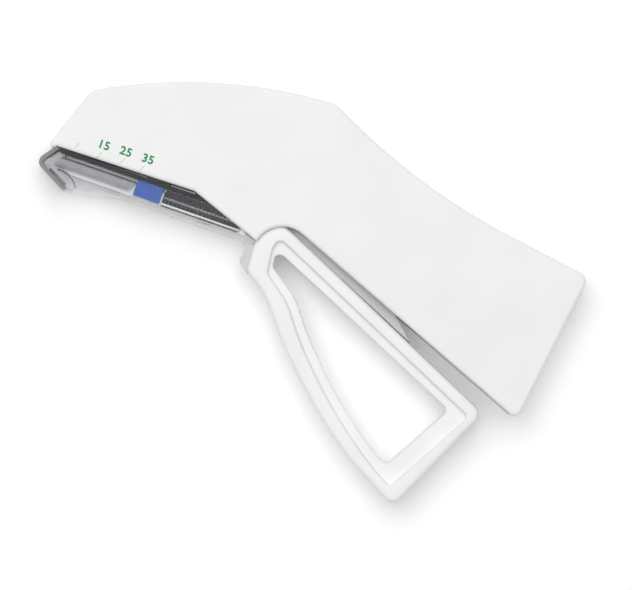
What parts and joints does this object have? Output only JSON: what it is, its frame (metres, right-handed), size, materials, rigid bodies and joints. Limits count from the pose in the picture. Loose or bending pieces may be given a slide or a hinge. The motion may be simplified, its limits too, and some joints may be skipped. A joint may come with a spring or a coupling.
{
  "type": "skin stapler",
  "caption": "Pistol-shaped skin stapler lying on its side, with a looped trigger, a clear side-loading staple cartridge and a steel nose.",
  "frame": {"origin": "centre of the outline at the resting side face, under the middle of the overall box", "axes": "+X from the nose to the handle's end, +Y from the trigger to the back, +Z out of the upper shell"},
  "size_m": [0.1522, 0.1168, 0.018],
  "materials": {
    "white_abs": "fine satin moulding",
    "trigger_abs": "fine satin moulding",
    "pivot_steel": "ground",
    "spring_steel": "drawn wire",
    "acetal": "satin",
    "stainless_sheet": "brushed",
    "clear_polycarbonate": "polished moulding",
    "dark_steel": "oiled sheet",
    "core_plastic": "satin",
    "staple_wire": "drawn wire",
    "blue_plastic": "satin moulding"
  },
  "bodies": {
    "frame": {"lower_shell": "white_abs", "upper_shell": "white_abs", "trigger_pivot_pin": "pivot_steel", "return_spring": "spring_steel", "cartridge_case": "clear_polycarbonate", "cartridge_cover": "dark_steel", "cartridge_pins": "pivot_steel", "magazine_core": "core_plastic", "nose_plate": "stainless_sheet", "anvil_plate": "stainless_sheet", "ejector_spring": "spring_steel", "staple_stack": "staple_wire", "front_staple": "staple_wire", "spring_rod": "pivot_steel", "follower_spring": "spring_steel", "end_cap": "core_plastic"},
    "trigger_lever": {"trigger": "trigger_abs", "drive_pin": "pivot_steel", "drive_roller": "acetal"},
    "former": {"former_carriage": "acetal", "former_plate": "stainless_sheet", "carriage_rivets": "pivot_steel"},
    "staple_follower": {"follower": "blue_plastic"}
  },
  "joints": [
    {"name": "trigger_squeeze", "type": "hinge", "parent": "frame", "child": "trigger_lever", "pos_m": [-0.02159, 0.03525, 0.009], "axis": [0, 0, 1], "range_deg": [0, 9], "stiffness_Nm_per_rad": 1.4, "deforming": ["return_spring"]},
    {"name": "former_stroke", "type": "slide", "parent": "frame", "child": "former", "axis": [-0.6947, -0.7193, 0], "range_m": [0, 0.00568], "deforming": ["front_staple"]},
    {"name": "follower_feed", "type": "slide", "parent": "frame", "child": "staple_follower", "axis": [-0.9449, 0.3272, 0], "range_m": [0, 0.02], "deforming": ["staple_stack", "follower_spring"]}
  ],
  "couplings": [
    {"joint": "former_stroke", "follows": "trigger_squeeze", "m_per_rad": 0.036091}
  ]
}
